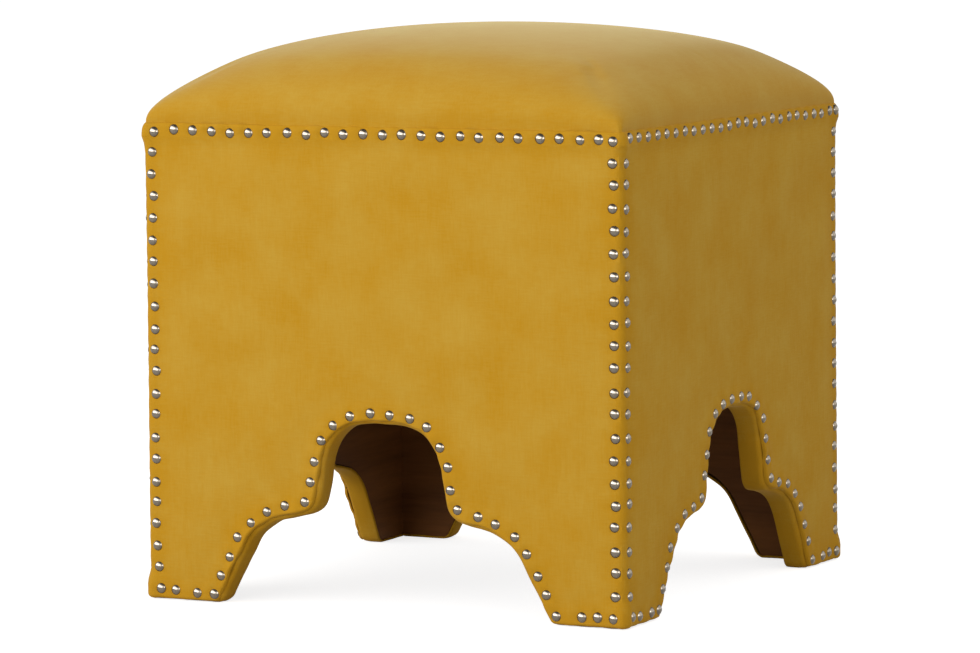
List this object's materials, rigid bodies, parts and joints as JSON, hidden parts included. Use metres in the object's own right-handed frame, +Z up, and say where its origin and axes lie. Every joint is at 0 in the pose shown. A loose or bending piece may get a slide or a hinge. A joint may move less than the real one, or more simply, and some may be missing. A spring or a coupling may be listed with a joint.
{
  "type": "footstool",
  "caption": "Square upholstered footstool with a domed padded seat, an arched cut-out in each boxed side and domed nails along every edge.",
  "frame": {"origin": "on the floor under the middle of the stool", "axes": "+Z up, front face towards -Y, right side towards +X"},
  "size_m": [0.4552, 0.4552, 0.4858],
  "materials": {
    "velvet": "short cotton velvet pile, mustard",
    "fleece": "soft white fleece and wadding",
    "foam": "cut upholstery foam",
    "stained_wood": "dark brown stain, satin",
    "plain_wood": "planed, unfinished",
    "nail_metal": "polished pewter-coloured nail heads"
  },
  "bodies": {
    "root": {"back_cleat": "plain_wood", "back_cover": "velvet", "back_edge_band": "velvet", "back_left_block": "plain_wood", "back_nails": "nail_metal", "back_padding": "fleece", "back_panel": "stained_wood", "back_right_block": "plain_wood", "front_cleat": "plain_wood", "front_cover": "velvet", "front_edge_band": "velvet", "front_left_block": "plain_wood", "front_nails": "nail_metal", "front_padding": "fleece", "front_panel": "stained_wood", "front_right_block": "plain_wood", "left_cleat": "plain_wood", "left_cover": "velvet", "left_edge_band": "velvet", "left_nails": "nail_metal", "left_padding": "fleece", "left_panel": "stained_wood", "right_cleat": "plain_wood", "right_cover": "velvet", "right_edge_band": "velvet", "right_nails": "nail_metal", "right_padding": "fleece", "right_panel": "stained_wood", "seat_cover": "velvet", "seat_deck": "plain_wood", "seat_foam": "foam", "seat_wadding": "fleece"}
  },
  "joints": []
}
